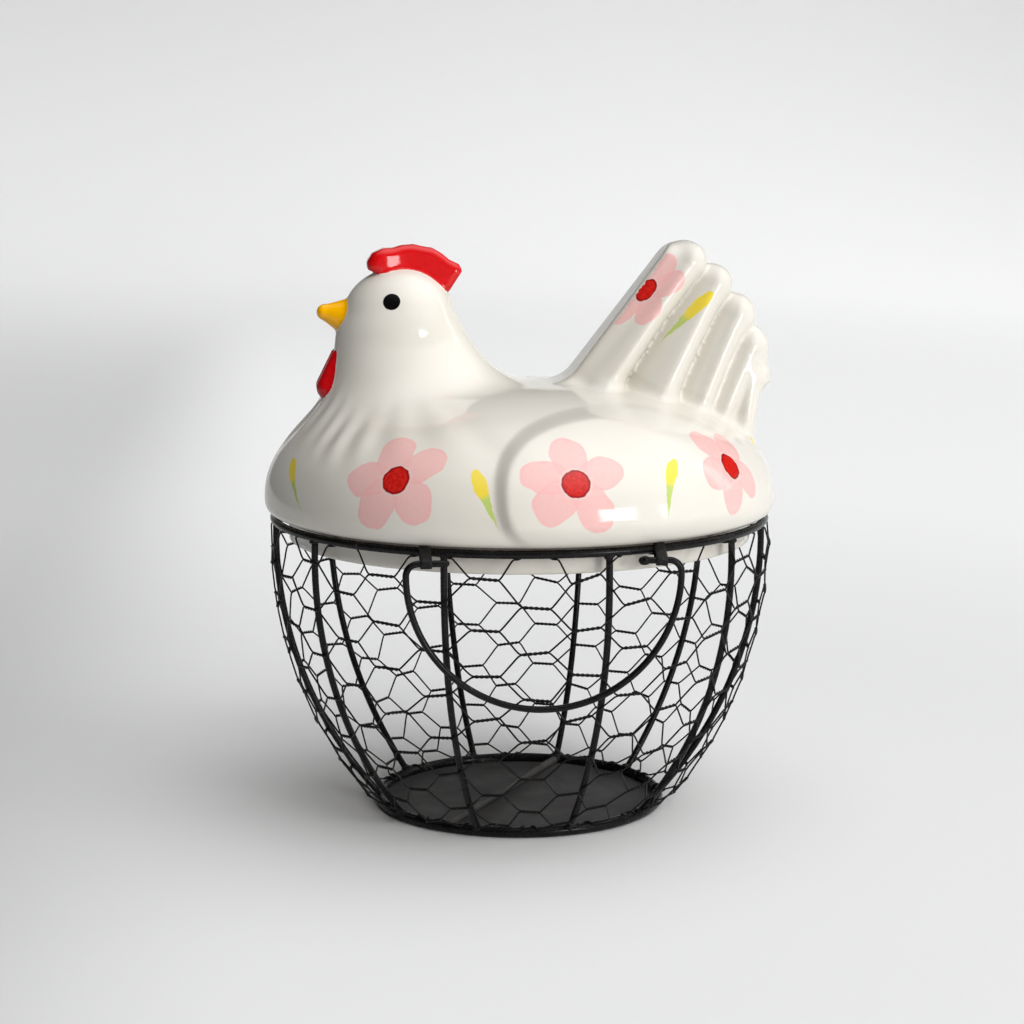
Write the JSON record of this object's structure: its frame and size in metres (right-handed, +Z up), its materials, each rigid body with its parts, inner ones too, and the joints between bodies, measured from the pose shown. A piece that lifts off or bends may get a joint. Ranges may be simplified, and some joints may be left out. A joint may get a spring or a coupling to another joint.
{
  "type": "egg collection basket",
  "caption": "Round wire egg basket with hexagonal netting, a drop handle and a lift-off hollow glazed ceramic lid shaped as a sitting hen.",
  "frame": {"origin": "centre of the base plate's underside, which lies on the floor inside the base ring", "axes": "+Z up along the basket's axis; the hen looks along -X and the handle hangs on the -Y side"},
  "size_m": [0.194, 0.194, 0.2155],
  "materials": {
    "black_wire": "satin black powder coat",
    "base_sheet": "matt dark grey powder coat",
    "netting_wire": "satin black paint over galvanised wire",
    "clip_strap": "matt black paint",
    "glazed_ceramic": "off-white gloss glaze with hand-painted flowers"
  },
  "bodies": {
    "basket": {"top_rim": "black_wire", "base_ring": "black_wire", "rib_01": "black_wire", "rib_02": "black_wire", "rib_03": "black_wire", "rib_04": "black_wire", "rib_05": "black_wire", "rib_06": "black_wire", "rib_07": "black_wire", "rib_08": "black_wire", "rib_09": "black_wire", "rib_10": "black_wire", "base_plate": "base_sheet", "base_cross_bar": "base_sheet", "netting_panel_01": "netting_wire", "netting_panel_02": "netting_wire", "netting_panel_03": "netting_wire", "netting_panel_04": "netting_wire", "netting_panel_05": "netting_wire", "netting_panel_06": "netting_wire", "netting_panel_07": "netting_wire", "netting_panel_08": "netting_wire", "netting_panel_09": "netting_wire", "netting_panel_10": "netting_wire", "handle_clip_left": "clip_strap", "handle_clip_right": "clip_strap"},
    "handle": {"drop_handle": "black_wire"},
    "lid": {"hen_lid": "glazed_ceramic"}
  },
  "joints": [
    {"name": "handle_swing", "type": "hinge", "parent": "basket", "child": "handle", "pos_m": [0, -0.0912, 0.1095], "axis": [-1, 0, 0], "range_deg": [-2, 170]},
    {"name": "lid_lift", "type": "slide", "parent": "basket", "child": "lid", "axis": [0, 0, 1], "range_m": [0, 0.06]}
  ]
}
